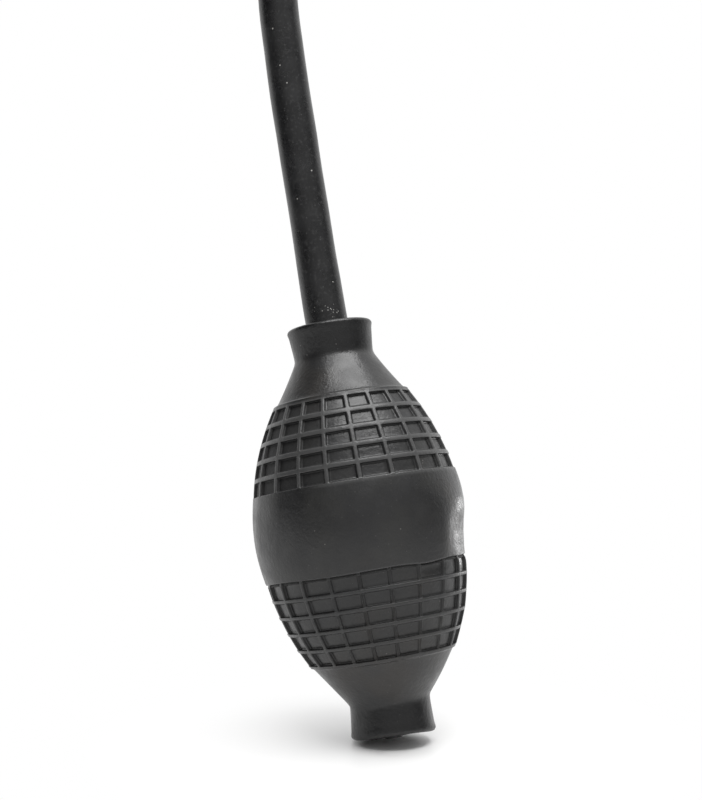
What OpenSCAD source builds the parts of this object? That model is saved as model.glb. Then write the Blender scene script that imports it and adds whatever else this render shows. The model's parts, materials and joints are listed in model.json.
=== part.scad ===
// Hand vacuum pump: a squeezed rubber bulb with two check valves, on a hose that ends in a coupling.
// Millimetres. The origin is the centre of the coupling's mouth, where the pump hangs; +Z is up.

/* [Bulb] */
// Height of the lower neck, from its rim to the shoulder
neck_low_h = 8.2; // [6:0.2:10]
// Height of the lower shoulder, up to the first grid
shoulder_low_h = 10.5; // [9:0.1:14]
// Height of the lower grid of pockets, with the ring between it and the belly
grid_low_h = 21.9; // [19:0.1:25]
// Height of the upper grid of pockets
grid_top_h = 21.3; // [19:0.1:25]
// Height of the smooth belly between the grids
belly_h = 21.7; // [19:0.1:25]
// Height of the upper shoulder
shoulder_top_h = 10.7; // [9:0.1:14]
// Height of the upper neck, up to its rim
neck_top_h = 8.3; // [7:0.1:11]
// Outer radius of a neck where it meets the shoulder
neck_r = 9.9; // [9.4:0.1:10.8]
// Outer radius of the lower neck at its open rim
rim_low_r = 10.5; // [10:0.1:11.5]
// Outer radius of the upper neck at its open rim
rim_top_r = 10.8; // [10:0.1:11.5]
// Rounding of a rim's outer edge
rim_round = 0.9; // [0.4:0.1:1.2]
// Outer radius of the lower shoulder under the first grid
shoulder_low_r = 17.6; // [16.5:0.1:18.5]
// Outer radius of the upper shoulder over the second grid
shoulder_top_r = 16.6; // [15.5:0.1:17.5]
// Height that the grids' ribs stand over the shoulders
rib_rise = 0.55; // [0.3:0.05:0.8]
// Outer radius of the belly at its edges
belly_edge_r = 25.5; // [24.5:0.1:26.5]
// Extra radius of the belly at its middle
belly_bow = 1.2; // [0.8:0.1:1.8]
// Extra radius of a grid at its middle, over a straight cone
grid_bow = 1.15; // [0.8:0.05:1.4]
// Extra radius of the lower shoulder at its middle
shoulder_bow = 0.25; // [0:0.05:0.5]
// Depth of the hollow in the upper shoulder's slope
shoulder_dip = 0.15; // [0:0.05:0.4]
// Thickness of the rubber wall
wall = 3; // [2.4:0.1:3.6]

/* [Grid] */
// Pockets from a shoulder to the belly
row_count = 5; // [4:1:6]
// Ribs around the bulb
rib_count = 20; // [16:1:22]
// Width of a rib
rib_w = 0.9; // [0.7:0.05:1.2]
// Depth of a pocket
pocket_d = 0.8; // [0.5:0.05:1]
// Width of the ring between the lower grid and the belly
belly_ring_w = 0.6; // [0.4:0.05:0.8]
// Height of the belly's edge over that ring
belly_ring_step = 0.35; // [0.2:0.05:0.5]
// Turn of the lower grid's ribs from the front
rib_turn_low = -4; // [-9:1:9]
// Turn of the upper grid's ribs from the front
rib_turn_top = 5; // [-9:1:9]

/* [Squeezed walls] */
// Half width of each wall that a thumb or the fingers push in
press_half_w = 14; // [12:0.5:15]
// Half height of each of these walls
press_half_h = 28; // [24:0.5:29]
// Slit between a pushed wall and the rest of the bulb
press_slit = 0.3; // [0.2:0.05:0.5]

/* [Valves] */
// Outer radius of a valve body
valve_r = 6.6; // [6.2:0.1:7]
// Radius of a valve chamber
chamber_r = 5.2; // [4.9:0.1:5.4]
// Radius of a valve port
port_hole_r = 1.5; // [1.2:0.1:1.8]
// Thickness of the wall around a valve port
port_wall = 3; // [2.4:0.1:3.4]
// Height of the raised lip that a disc closes on
lip_h = 0.4; // [0.3:0.05:0.6]
// Width of that lip
lip_w = 0.8; // [0.6:0.1:1]
// Radius of a valve disc
disc_r = 3.6; // [3.2:0.1:4]
// Thickness of a valve disc
disc_t = 1.2; // [1:0.1:1.5]
// Gap between a closed disc and its lip
disc_gap = 0.05; // [0.02:0.01:0.1]
// Length of a valve spring with its disc closed
valve_spring_l = 4; // [3.6:0.1:4.6]
// Thickness of the cage under the inlet valve's spring
cage_t = 1.5; // [1.2:0.1:2]
// Thickness of the cap under the exhaust valve's spring
cap_t = 2.4; // [2:0.1:3]
// Depth of the exhaust valve inside the lower rim
exhaust_recess = 2.4; // [1.6:0.1:3]
// Width of the flange that stops a valve body inside the bulb
flange_w = 1.4; // [1:0.1:1.8]
// Thickness of that flange
flange_t = 1.5; // [1.2:0.1:2]
// Radius of the exhaust nozzle
nozzle_r = 2.2; // [1.9:0.1:2.6]
// Length that the nozzle stands out under the lower rim
nozzle_out = 1; // [0.6:0.1:1.4]
// Radius of the nozzle's vent
vent_r = 0.9; // [0.7:0.1:1.1]
// Radius of the small vents around it
small_vent_r = 0.7; // [0.5:0.1:0.9]
// Small vents in the cage and in the cap
small_vent_count = 6; // [4:1:8]

/* [Hose] */
// Outer radius of the hose
hose_r = 5.1; // [4.6:0.1:5.4]
// Radius of the hose's bore
hose_bore_r = 2.5; // [2:0.1:3]
// Length of hose held inside the upper neck
hose_socket_d = 8; // [7:0.5:9]
// Length of the inlet valve's nipple inside the hose
nipple_l = 9; // [7:0.5:10]
// Clearance of the hose in the neck and the sleeve
hose_clear = 0.05; // [0.02:0.01:0.1]

/* [Coupling] */
// Diameter of the vessel's nipple that the coupling takes
vessel_nipple_d = 8; // [7:0.1:9]
// Clearance of that nipple in the coupling
nipple_clear = 0.05; // [0.02:0.01:0.1]
// Depth of the coupling's socket
socket_d = 12; // [11:0.5:14]
// Outer radius of the coupling
coupling_r = 8; // [7.6:0.1:8.6]
// Extra radius of the band around the mouth
mouth_band_w = 1.2; // [0.8:0.1:1.6]
// Height of that band
mouth_band_h = 8.4; // [8:0.2:9.4]
// Diameter of the seal ring's section
seal_wire_d = 1.8; // [1.5:0.1:2]
// Depth of the seal ring's middle under the mouth
seal_depth = 5; // [4:0.2:6]
// Radius of the filter disc
filter_r = 3.4; // [3:0.1:3.6]
// Thickness of the filter disc
filter_t = 1; // [0.8:0.1:1.4]
// Radius of the airway through the coupling
airway_r = 1.6; // [1.2:0.1:1.8]
// Wall between the release valve's chamber and what lies over or under it
chamber_roof = 2.1; // [1.8:0.1:3]
// Depth of the thread that takes the barb
thread_d = 7; // [6:0.5:9]
// Radius of that thread
thread_r = 4.4; // [4:0.1:4.8]
// Clearance of the barb's thread and of the plug
thread_clear = 0.05; // [0.02:0.01:0.1]
// Distance across the barb's hexagon
hex_af = 13; // [12:0.5:14]
// Thickness of the hexagon
hex_t = 3; // [2.5:0.1:4]
// Radius of the barb's bore
barb_bore_r = 1.5; // [1.2:0.1:1.7]
// Length of the barb's tail
barb_l = 13; // [11:0.5:15]
// Height of the ridges on the barb and the nipple
ridge_h = 0.15; // [0.1:0.05:0.3]
// Length of the sleeve over the hose's end
sleeve_l = 12; // [10:0.5:14]
// Wall of that sleeve
sleeve_wall = 1.1; // [0.9:0.1:1.5]
// Width of a groove crimped round the sleeve
crimp_w = 1.2; // [0.8:0.1:1.6]
// Grooves round the coupling for the fingers
grip_count = 3; // [2:1:3]
// Width of such a groove
grip_w = 1.2; // [0.9:0.1:1.5]
// Depth of such a groove
grip_d = 0.5; // [0.3:0.1:0.7]

/* [Release valve] */
// Radius of the release valve's chamber
release_chamber_r = 3.4; // [3.1:0.1:3.6]
// Distance from the airway's middle to the seat
seat_out = 2.6; // [2.2:0.1:3]
// Thickness of the seat's wall
seat_t = 2; // [1.6:0.1:2.4]
// Radius of the seat's hole
seat_hole_r = 1.5; // [1.3:0.1:1.8]
// Radius of the stem
stem_r = 0.8; // [0.6:0.1:1]
// Radius of the stem's plate
plate_r = 2.2; // [2:0.1:2.5]
// Thickness of the stem's plate
plate_t = 1.1; // [0.8:0.1:1.4]
// Radius of the rubber washer on the plate
washer_r = 2.6; // [2.3:0.1:2.8]
// Thickness of that washer
washer_t = 1.2; // [1:0.1:1.5]
// Gap between the closed washer and its seat
washer_gap = 0.05; // [0.02:0.01:0.1]
// Travel of the button
button_travel = 2; // [1.6:0.1:2.2]
// Radius of the button
button_r = 3.8; // [3.4:0.1:4.2]
// Running clearance of the button in its guide
button_clear = 0.1; // [0.05:0.01:0.15]
// Length of the button
button_l = 6; // [5:0.2:7]
// Room left behind a pressed button
button_room = 0.6; // [0.4:0.1:1]
// Length of stem held in the button
stem_grip = 3; // [2.4:0.1:3.6]
// Wall of the guide around the button
guide_wall = 1.5; // [1.2:0.1:2]
// Distance from the airway's middle to the guide's end
guide_out = 11; // [10:0.2:12]
// Distance from the airway's middle to the plug's inner face
plug_in = 5; // [4.8:0.1:5.4]
// Radius of the plug's shank
plug_r = 4.2; // [4:0.1:4.4]
// Extra radius of the plug's head
plug_head_w = 0.7; // [0.5:0.1:0.9]
// Thickness of the plug's head
plug_head_t = 1.2; // [1:0.1:1.6]
// Depth of the flat that the plug's head sits on
plug_flat_d = 0.6; // [0.5:0.1:0.9]
// Width of the plug's slot
slot_w = 1.2; // [0.8:0.1:1.6]

/* [Springs] */
// Diameter of the spring wire
wire_d = 0.5; // [0.4:0.05:0.6]
// Middle radius of the valve springs
valve_spring_r = 2.2; // [2:0.1:2.6]
// Middle radius of the release spring
release_spring_r = 1.7; // [1.5:0.1:1.9]
// Turns of each spring
spring_turns = 4; // [3:1:4]

/* [Pose] */
// Lean of the bulb towards -X
lean_side = 9.1; // [0:0.1:15]
// Lean of the bulb's top towards +Y
lean_back = 8; // [0:0.5:12]

/* [Hidden] */
$fn = 64;
// A cut runs this far past the face that it opens
over = 0.5;
z_neck_low = neck_low_h;
z_grid_low = z_neck_low + shoulder_low_h;
z_belly_low = z_grid_low + grid_low_h;
z_belly_top = z_belly_low + belly_h;
z_grid_top = z_belly_top + grid_top_h;
z_neck_top = z_grid_top + shoulder_top_h;
bulb_len = z_neck_top + neck_top_h;
z_belly_mid = (z_belly_low + z_belly_top) / 2;

// The bulb's upper rim, and the route of the hose from the coupling down to it, as points chosen by hand
bulb_top = [13.3, -7.9, -138];
free_route = [
    [0, 0, -47], [0.1, -0.1, -53], [0.6, -0.4, -59], [1.5, -0.8, -66], [2.6, -1.3, -74],
    [3.8, -1.9, -82], [5.1, -2.6, -90], [6.4, -3.3, -98], [7.7, -4.1, -106], [9, -4.9, -114],
    [10.3, -5.8, -122], [11.7, -6.8, -130]
];
bulb_axis = [-cos(lean_back) * sin(lean_side), sin(lean_back), cos(lean_back) * cos(lean_side)];
hose_top_z = -(socket_d + filter_t + 2 * chamber_roof + 2 * release_chamber_r + thread_d + hex_t);
hose_route = concat(
    [[0, 0, hose_top_z]], free_route,
    [bulb_top, bulb_top - hose_socket_d * bulb_axis]);
hose_sides = 12;

// Valve stations along the bulb's axis; both valves pass air downwards
inlet_top = bulb_len - hose_socket_d;
inlet_seat = inlet_top - port_wall - lip_h;
inlet_cage_top = inlet_seat - disc_gap - disc_t - valve_spring_l;
inlet_bottom = inlet_cage_top - cage_t;
cavity_top = inlet_bottom + flange_t;
exhaust_seat_room = port_wall + lip_h + disc_gap + disc_t + valve_spring_l + cap_t;
exhaust_bottom = exhaust_recess;
exhaust_top = exhaust_bottom + exhaust_seat_room;
exhaust_seat = exhaust_top - port_wall - lip_h;
exhaust_cap_top = exhaust_bottom + cap_t;
cavity_low = exhaust_top - flange_t;

// Coupling stations down from its mouth
port_r = vessel_nipple_d / 2 + nipple_clear;
seal_mid_r = port_r + seal_wire_d / 2 + nipple_clear;
filter_z = -socket_d - filter_t;
release_z = filter_z - chamber_roof - release_chamber_r;
thread_top_z = release_z - release_chamber_r - chamber_roof;
coupling_bottom = thread_top_z - thread_d;
plug_flat = coupling_r - plug_flat_d;
guide_in = seat_out + seat_t;
button_in = guide_in + button_room + button_travel;
washer_out = seat_out - washer_gap;
plate_out = washer_out - washer_t;
stem_in = plate_out - plate_t;

function lerp(a, b, t) = a + (b - a) * t;
function unit(v) = v / norm(v);

// Points [radius, height] of a stretch that bows out from a straight line
function bowed(z0, r0, z1, r1, bow, n) =
    [for (i = [0:n]) let (t = i / n) [lerp(r0, r1, t) + 4 * bow * t * (1 - t), lerp(z0, z1, t)]];

// Radius of a grid's ribs, from its shoulder end (t = 0) to the belly (t = 1)
function grid_r(end_r, t) = lerp(end_r, belly_edge_r - 0.1, t) + 4 * grid_bow * t * (1 - t);
grid_low_r = shoulder_low_r + rib_rise;
grid_top_r = shoulder_top_r + rib_rise;
row_low_h = (grid_low_h - belly_ring_w) / row_count;
row_top_h = grid_top_h / row_count;

// A grid's outline: one ring rib at the start of each row, then the floor of its pocket
function grid_steps(end_r, height, row_h) = [
    for (i = [0:row_count - 1])
        let (a = i * row_h, b = a + rib_w, c = a + row_h)
            each [
                [grid_r(end_r, a / height), a], [grid_r(end_r, b / height), b],
                [grid_r(end_r, b / height) - pocket_d, b], [grid_r(end_r, c / height) - pocket_d, c]
            ]
];
low_steps = concat(
    grid_steps(grid_low_r, grid_low_h, row_low_h),
    [for (z = [grid_low_h - belly_ring_w, grid_low_h])
        [grid_r(grid_low_r, z / grid_low_h) - belly_ring_step, z]]);
top_steps = grid_steps(grid_top_r, grid_top_h, row_top_h);

// Smooth outer radius at a height, over pockets and ribs alike
function outer_r(z) =
    z < z_grid_low ? let (t = (z - z_neck_low) / shoulder_low_h)
        lerp(neck_r, shoulder_low_r, t) + 4 * shoulder_bow * t * (1 - t) :
    z < z_belly_low ? grid_r(grid_low_r, (z - z_grid_low) / grid_low_h) :
    z < z_belly_top ? let (t = (z - z_belly_low) / belly_h) belly_edge_r + 4 * belly_bow * t * (1 - t) :
    z < z_grid_top ? grid_r(grid_top_r, (z_grid_top - z) / grid_top_h) :
    let (t = (z_neck_top - z) / shoulder_top_h)
        lerp(neck_r, shoulder_top_r, t) - 4 * shoulder_dip * t * (1 - t);

// Quarter round from one angle to the next, about a centre
function corner(r, z, round, from, to) =
    [for (i = [0:4]) let (a = lerp(from, to, i / 4)) [r + round * cos(a), z + round * sin(a)]];

outer_outline = concat(
    [[0, 0]],
    corner(rim_low_r - rim_round, rim_round, rim_round, -90, 0),
    bowed(z_neck_low, neck_r, z_grid_low, shoulder_low_r, shoulder_bow, 4),
    [for (p = low_steps) [p[0], z_grid_low + p[1]]],
    bowed(z_belly_low, belly_edge_r, z_belly_top, belly_edge_r, belly_bow, 8),
    [for (i = [len(top_steps) - 1:-1:0]) [top_steps[i][0], z_grid_top - top_steps[i][1]]],
    bowed(z_grid_top, shoulder_top_r, z_neck_top, neck_r, -shoulder_dip, 4),
    corner(rim_top_r - rim_round, bulb_len - rim_round, rim_round, 0, 90),
    [[0, bulb_len]]);

cavity_steps = 16;
cavity_outline = concat(
    [[0, cavity_low]],
    [for (i = [0:cavity_steps])
        let (z = lerp(cavity_low, cavity_top, i / cavity_steps)) [outer_r(z) - wall, z]],
    [[0, cavity_top]]);

// Rings of points round a route, for a tube of so many sides
function tangent(route, i) =
    unit(route[min(i + 1, len(route) - 1)] - route[max(i - 1, 0)]);
function ring_points(route, r, sides, ref) = [
    for (i = [0:len(route) - 1])
        let (t = tangent(route, i), u = unit(cross(ref, t)), v = cross(t, u))
            for (k = [0:sides - 1]) let (a = 360 * k / sides) route[i] + r * (cos(a) * u + sin(a) * v)
];
function skin(rings, sides, first, flip) = [
    for (i = [0:rings - 2]) for (k = [0:sides - 1])
        let (a = first + i * sides + k, b = first + i * sides + (k + 1) % sides)
            each flip ? [[a, b, b + sides], [a, b + sides, a + sides]]
                      : [[a, b + sides, b], [a, a + sides, b + sides]]
];
function fan(sides, first, flip) = [
    for (k = [1:sides - 2])
        flip ? [first, first + k + 1, first + k] : [first, first + k, first + k + 1]
];
function rim_faces(sides, outer, inner, flip) = [
    for (k = [0:sides - 1])
        let (a = outer + k, b = outer + (k + 1) % sides, c = inner + k, d = inner + (k + 1) % sides)
            each flip ? [[a, c, d], [a, d, b]] : [[a, d, c], [a, b, d]]
];

module solid_tube(route, r, sides, ref) {
    rings = len(route);
    polyhedron(
        points = ring_points(route, r, sides, ref),
        faces = concat(
            skin(rings, sides, 0, false),
            fan(sides, 0, false),
            fan(sides, (rings - 1) * sides, true)),
        convexity = 6);
}

module hollow_tube(route, r, bore_r, sides, ref) {
    rings = len(route);
    inner = rings * sides;
    last = (rings - 1) * sides;
    polyhedron(
        points = concat(
            ring_points(route, r, sides, ref),
            ring_points(route, bore_r / cos(180 / sides), sides, ref)),
        faces = concat(
            skin(rings, sides, 0, false),
            skin(rings, sides, inner, true),
            rim_faces(sides, 0, inner, false),
            rim_faces(sides, last, inner + last, true)),
        convexity = 6);
}

// A compression spring along +Z, from z0 to z1
coil_sides = 6;
coil_rings = 8;
module coil(mid_r, z0, z1) {
    low = z0 + wire_d / 2;
    high = z1 - wire_d / 2;
    steps = coil_rings * spring_turns;
    route = [for (i = [0:steps])
        let (a = 360 * i / coil_rings) [mid_r * cos(a), mid_r * sin(a), lerp(low, high, i / steps)]];
    solid_tube(route, wire_d / 2 - 0.01, coil_sides, [0, 0, 1]);
}

// Places what is modelled on the bulb's own axis, with its lower rim at z = 0
module on_bulb() {
    translate(bulb_top) rotate([-lean_back, -lean_side, 0]) translate([0, 0, -bulb_len]) children();
}

// Lays what is modelled along +Z along the release valve's axis, outwards to the front
module on_release() {
    translate([0, 0, release_z]) rotate([90, 0, 0]) children();
}

module tube_z(r, z0, z1) {
    translate([0, 0, z0]) cylinder(r = r, h = z1 - z0);
}

// Ribs that run from a shoulder to the belly; end_z is the shoulder's edge and dir points to the belly
module long_ribs(end_r, end_z, dir, turn, height, row_h) {
    sink = 0.6;
    under = 0.06;
    stops = [for (i = [0:row_count - 1]) each [i * row_h, i * row_h + rib_w]];
    inside = concat([rib_w / 2], [for (i = [1:len(stops) - 1]) stops[i]], [height]);
    top = [for (z = inside) [grid_r(end_r, z / height) - under, end_z + dir * z]];
    bottom = [for (i = [len(inside) - 1:-1:0])
        [grid_r(end_r, inside[i] / height) - pocket_d - sink, end_z + dir * inside[i]]];
    intersection() {
        rotate_extrude() polygon(concat(top, bottom));
        for (i = [0:rib_count - 1])
            rotate([0, 0, -90 + turn + 360 * i / rib_count])
                translate([shoulder_top_r / 2, -rib_w / 2, 0]) cube([belly_edge_r, rib_w, bulb_len]);
    }
}

// The whole rubber bulb, before its pushed walls are parted from it
module bulb() {
    difference() {
        union() {
            rotate_extrude() polygon(outer_outline);
            long_ribs(grid_low_r, z_grid_low, 1, rib_turn_low, grid_low_h, row_low_h);
            long_ribs(grid_top_r, z_grid_top, -1, rib_turn_top, grid_top_h, row_top_h);
        }
        rotate_extrude() polygon(cavity_outline);
        tube_z(valve_r, -over, cavity_low + over);
        tube_z(valve_r, cavity_top - over, inlet_top);
        tube_z(hose_r + hose_clear, inlet_top - over, bulb_len + over);
    }
}

// The space that a pushed wall takes, towards -Y (side = -1) or +Y (side = 1)
module press_window(side, extra) {
    deep = belly_edge_r + belly_bow + over;
    half = press_half_h - press_half_w;
    r = press_half_w + extra;
    mirror([0, side > 0 ? 1 : 0, 0]) {
        for (dz = [-half, half])
            translate([0, 0, z_belly_mid + dz]) rotate([90, 0, 0]) cylinder(r = r, h = deep);
        translate([-r, -deep, z_belly_mid - half]) cube([2 * r, deep, 2 * half]);
    }
}

module bulb_shell() {
    color([0.22, 0.22, 0.23]) on_bulb() difference() {
        bulb();
        press_window(-1, press_slit);
        press_window(1, press_slit);
    }
}

module bulb_thumb_wall() {
    color([0.25, 0.25, 0.26]) on_bulb() intersection() {
        bulb();
        press_window(-1, 0);
    }
}

module bulb_finger_wall() {
    color([0.25, 0.25, 0.26]) on_bulb() intersection() {
        bulb();
        press_window(1, 0);
    }
}

// Body of a check valve from its open bottom to its port wall; the chamber is open below
module valve_body(bottom, top, flange_z) {
    seat = top - port_wall - lip_h;
    difference() {
        union() {
            tube_z(valve_r, bottom, top);
            tube_z(valve_r + flange_w, flange_z, flange_z + flange_t);
        }
        difference() {
            tube_z(chamber_r, bottom - over, top - port_wall);
            tube_z(port_hole_r + lip_w, seat, top);
        }
        tube_z(port_hole_r, seat - over, top + over);
    }
}

// Ring of small vents around the middle of a valve's cage or cap
module small_vents(z0, z1) {
    ring_r = (valve_spring_r + wire_d + chamber_r) / 2;
    for (i = [0:small_vent_count - 1])
        rotate([0, 0, 360 * i / small_vent_count]) translate([ring_r, 0, 0])
            tube_z(small_vent_r, z0 - over, z1 + over);
}

// A hose tail from z0, pointing along dir, with two round ridges that hold the hose
module tail(r, z0, dir, length, bore) {
    ridge_l = 1.6;
    rise_l = 0.2;
    tip = 0.4;
    outline = concat(
        [[bore, 0], [r, 0]],
        [for (s = [0.35, 0.75]) each [
            [r, s * length], [r + ridge_h, s * length + rise_l], [r, s * length + ridge_l]]],
        [[r, length - tip], [r - tip, length], [bore, length]]);
    translate([0, 0, z0]) rotate([dir > 0 ? 0 : 180, 0, 0]) rotate_extrude() polygon(outline);
}

module inlet_valve_body() {
    color([0.16, 0.16, 0.17]) on_bulb() {
        valve_body(inlet_bottom, inlet_top, inlet_bottom);
        tail(hose_bore_r, inlet_top, 1, nipple_l, port_hole_r);
    }
}

module inlet_valve_disc() {
    color([0.5, 0.16, 0.12]) on_bulb() tube_z(disc_r, inlet_seat - disc_gap - disc_t, inlet_seat - disc_gap);
}

module inlet_valve_spring() {
    color([0.75, 0.76, 0.78]) on_bulb() coil(valve_spring_r, inlet_cage_top, inlet_cage_top + valve_spring_l);
}

module inlet_valve_cage() {
    color([0.16, 0.16, 0.17]) on_bulb() difference() {
        tube_z(chamber_r, inlet_bottom, inlet_cage_top);
        tube_z(port_hole_r, inlet_bottom - over, inlet_cage_top + over);
        small_vents(inlet_bottom, inlet_cage_top);
    }
}

module exhaust_valve_body() {
    color([0.16, 0.16, 0.17]) on_bulb() valve_body(exhaust_bottom, exhaust_top, cavity_low);
}

module exhaust_valve_disc() {
    color([0.5, 0.16, 0.12]) on_bulb()
        tube_z(disc_r, exhaust_seat - disc_gap - disc_t, exhaust_seat - disc_gap);
}

module exhaust_valve_spring() {
    color([0.75, 0.76, 0.78]) on_bulb() coil(valve_spring_r, exhaust_cap_top, exhaust_cap_top + valve_spring_l);
}

module exhaust_valve_cap() {
    color([0.12, 0.12, 0.13]) on_bulb() difference() {
        union() {
            tube_z(chamber_r, exhaust_bottom, exhaust_cap_top);
            tube_z(nozzle_r, -nozzle_out, exhaust_bottom + over);
        }
        tube_z(vent_r, -nozzle_out - over, exhaust_cap_top + over);
        small_vents(exhaust_bottom, exhaust_cap_top);
    }
}

module hose() {
    color([0.12, 0.12, 0.13]) hollow_tube(hose_route, hose_r, hose_bore_r, hose_sides, [1, 0, 0]);
}

module hose_barb() {
    color([0.8, 0.8, 0.78]) {
        difference() {
            union() {
                tube_z(thread_r - thread_clear, coupling_bottom, thread_top_z);
                translate([0, 0, hose_top_z])
                    cylinder(r = hex_af / 2 / cos(30), h = hex_t, $fn = 6);
            }
            tube_z(barb_bore_r, hose_top_z - over, thread_top_z + over);
        }
        tail(hose_bore_r, hose_top_z, -1, barb_l, barb_bore_r);
    }
}

module hose_sleeve() {
    r_in = hose_r + hose_clear;
    r_out = r_in + sleeve_wall;
    depth = 0.35;
    outline = concat(
        [[r_in, 0], [r_out - depth, 0], [r_out, depth]],
        [for (s = [0.25, 0.5, 0.75]) each [
            [r_out, s * sleeve_l - crimp_w / 2], [r_out - depth, s * sleeve_l - crimp_w / 4],
            [r_out - depth, s * sleeve_l + crimp_w / 4], [r_out, s * sleeve_l + crimp_w / 2]]],
        [[r_out, sleeve_l - depth], [r_out - depth, sleeve_l], [r_in, sleeve_l]]);
    color([0.7, 0.71, 0.72]) translate([0, 0, hose_top_z - sleeve_l]) rotate_extrude() polygon(outline);
}

// Outline of the coupling's outside, from its bottom edge up to its mouth
module coupling_outside() {
    edge = 0.6;
    grip_pitch = (thread_d - 2 * edge) / grip_count;
    outline = concat(
        [[0, coupling_bottom], [coupling_r - edge, coupling_bottom], [coupling_r, coupling_bottom + edge]],
        [for (i = [0:grip_count - 1]) let (z = coupling_bottom + edge + (i + 0.5) * grip_pitch) each [
            [coupling_r, z - grip_w / 2], [coupling_r - grip_d, z - grip_w / 6],
            [coupling_r - grip_d, z + grip_w / 6], [coupling_r, z + grip_w / 2]]],
        [[coupling_r, -mouth_band_h - mouth_band_w], [coupling_r + mouth_band_w, -mouth_band_h],
         [coupling_r + mouth_band_w, -edge], [coupling_r + mouth_band_w - edge, 0], [0, 0]]);
    rotate_extrude() polygon(outline);
}

module coupling_body() {
    groove_h = seal_wire_d + 0.3;
    color([0.14, 0.14, 0.15]) difference() {
        union() {
            coupling_outside();
            on_release() tube_z(button_r + button_clear + guide_wall, 0, guide_out);
        }
        tube_z(port_r, -socket_d, over);
        tube_z(seal_mid_r + seal_wire_d / 2 + 0.1, -seal_depth - groove_h / 2, -seal_depth + groove_h / 2);
        tube_z(filter_r + nipple_clear, filter_z, -socket_d + over);
        tube_z(airway_r, thread_top_z - over, filter_z + over);
        tube_z(thread_r, coupling_bottom - over, thread_top_z);
        on_release() {
            tube_z(release_chamber_r, -plug_in - over, seat_out);
            tube_z(seat_hole_r, 0, guide_out);
            tube_z(button_r + button_clear, guide_in, guide_out + over);
            tube_z(plug_r + thread_clear, -coupling_r - over, -plug_in);
            tube_z(plug_r + plug_head_w + over, -coupling_r - over, -plug_flat);
        }
    }
}

module coupling_seal_ring() {
    color([0.08, 0.08, 0.08]) translate([0, 0, -seal_depth])
        rotate_extrude() translate([seal_mid_r, 0]) circle(d = seal_wire_d, $fn = 32);
}

module coupling_filter() {
    color([0.62, 0.62, 0.6]) tube_z(filter_r, filter_z, -socket_d);
}

module release_button() {
    crown = 0.8;
    outline = concat(
        [[0, button_in], [button_r, button_in]],
        corner(button_r - crown, button_in + button_l - crown, crown, 0, 90),
        [[0, button_in + button_l]]);
    color([0.45, 0.46, 0.47]) on_release() difference() {
        rotate_extrude() polygon(outline);
        tube_z(stem_r, button_in - over, button_in + stem_grip);
    }
}

module release_stem() {
    color([0.75, 0.76, 0.78]) on_release() {
        tube_z(stem_r, stem_in, button_in + stem_grip);
        tube_z(plate_r, stem_in, plate_out);
    }
}

module release_washer() {
    color([0.08, 0.08, 0.08]) on_release() difference() {
        tube_z(washer_r, plate_out, washer_out);
        tube_z(stem_r, plate_out - over, washer_out + over);
    }
}

module release_spring() {
    color([0.75, 0.76, 0.78]) on_release() coil(release_spring_r, -plug_in, stem_in);
}

module release_plug() {
    color([0.2, 0.2, 0.21]) on_release() difference() {
        union() {
            tube_z(plug_r, -plug_flat, -plug_in);
            tube_z(plug_r + plug_head_w, -plug_flat - plug_head_t, -plug_flat);
        }
        translate([-plug_r - over, -slot_w / 2, -plug_flat - plug_head_t - over])
            cube([2 * (plug_r + over), slot_w, over + plug_head_t / 2]);
    }
}

bulb_shell();
bulb_thumb_wall();
bulb_finger_wall();
inlet_valve_body();
inlet_valve_disc();
inlet_valve_spring();
inlet_valve_cage();
exhaust_valve_body();
exhaust_valve_disc();
exhaust_valve_spring();
exhaust_valve_cap();
hose();
hose_barb();
hose_sleeve();
coupling_body();
coupling_seal_ring();
coupling_filter();
release_button();
release_stem();
release_washer();
release_spring();
release_plug();
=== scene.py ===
"""Looks of a hand vacuum pump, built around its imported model: a black rubber bulb on a hose."""

import json
import math

import bpy
import numpy as np
from mathutils import Matrix, Vector
from mathutils.geometry import tessellate_polygon


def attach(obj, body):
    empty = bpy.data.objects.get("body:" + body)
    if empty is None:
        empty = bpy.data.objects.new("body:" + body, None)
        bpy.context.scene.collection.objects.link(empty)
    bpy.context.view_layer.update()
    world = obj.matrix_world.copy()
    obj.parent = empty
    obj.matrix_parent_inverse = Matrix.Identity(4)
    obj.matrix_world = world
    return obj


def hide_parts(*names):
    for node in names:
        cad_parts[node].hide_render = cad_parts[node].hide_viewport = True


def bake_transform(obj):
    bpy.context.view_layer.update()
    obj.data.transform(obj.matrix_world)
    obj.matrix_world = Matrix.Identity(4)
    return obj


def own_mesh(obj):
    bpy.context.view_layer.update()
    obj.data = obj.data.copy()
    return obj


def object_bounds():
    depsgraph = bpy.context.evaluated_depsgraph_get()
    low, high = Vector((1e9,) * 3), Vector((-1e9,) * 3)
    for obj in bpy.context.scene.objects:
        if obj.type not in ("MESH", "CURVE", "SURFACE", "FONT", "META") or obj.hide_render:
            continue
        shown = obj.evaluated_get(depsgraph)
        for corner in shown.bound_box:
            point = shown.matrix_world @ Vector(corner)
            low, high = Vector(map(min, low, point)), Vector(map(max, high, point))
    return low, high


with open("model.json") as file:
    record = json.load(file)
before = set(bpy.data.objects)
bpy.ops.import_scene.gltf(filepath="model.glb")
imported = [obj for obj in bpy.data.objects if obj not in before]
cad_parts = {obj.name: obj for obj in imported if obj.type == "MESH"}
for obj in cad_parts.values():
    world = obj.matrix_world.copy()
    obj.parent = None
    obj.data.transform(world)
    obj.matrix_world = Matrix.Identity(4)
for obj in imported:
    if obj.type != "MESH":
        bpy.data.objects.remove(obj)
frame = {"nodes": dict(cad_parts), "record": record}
cad_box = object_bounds()
MM = 0.001

# Camera: at the photograph's distance, a little above the middle of the bulb
CAMERA_AT = Vector((18.88, -377.8, -141.1)) * MM
CAMERA_TILT = math.radians(2.43)
CAMERA_LENS = 65.65

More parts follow.
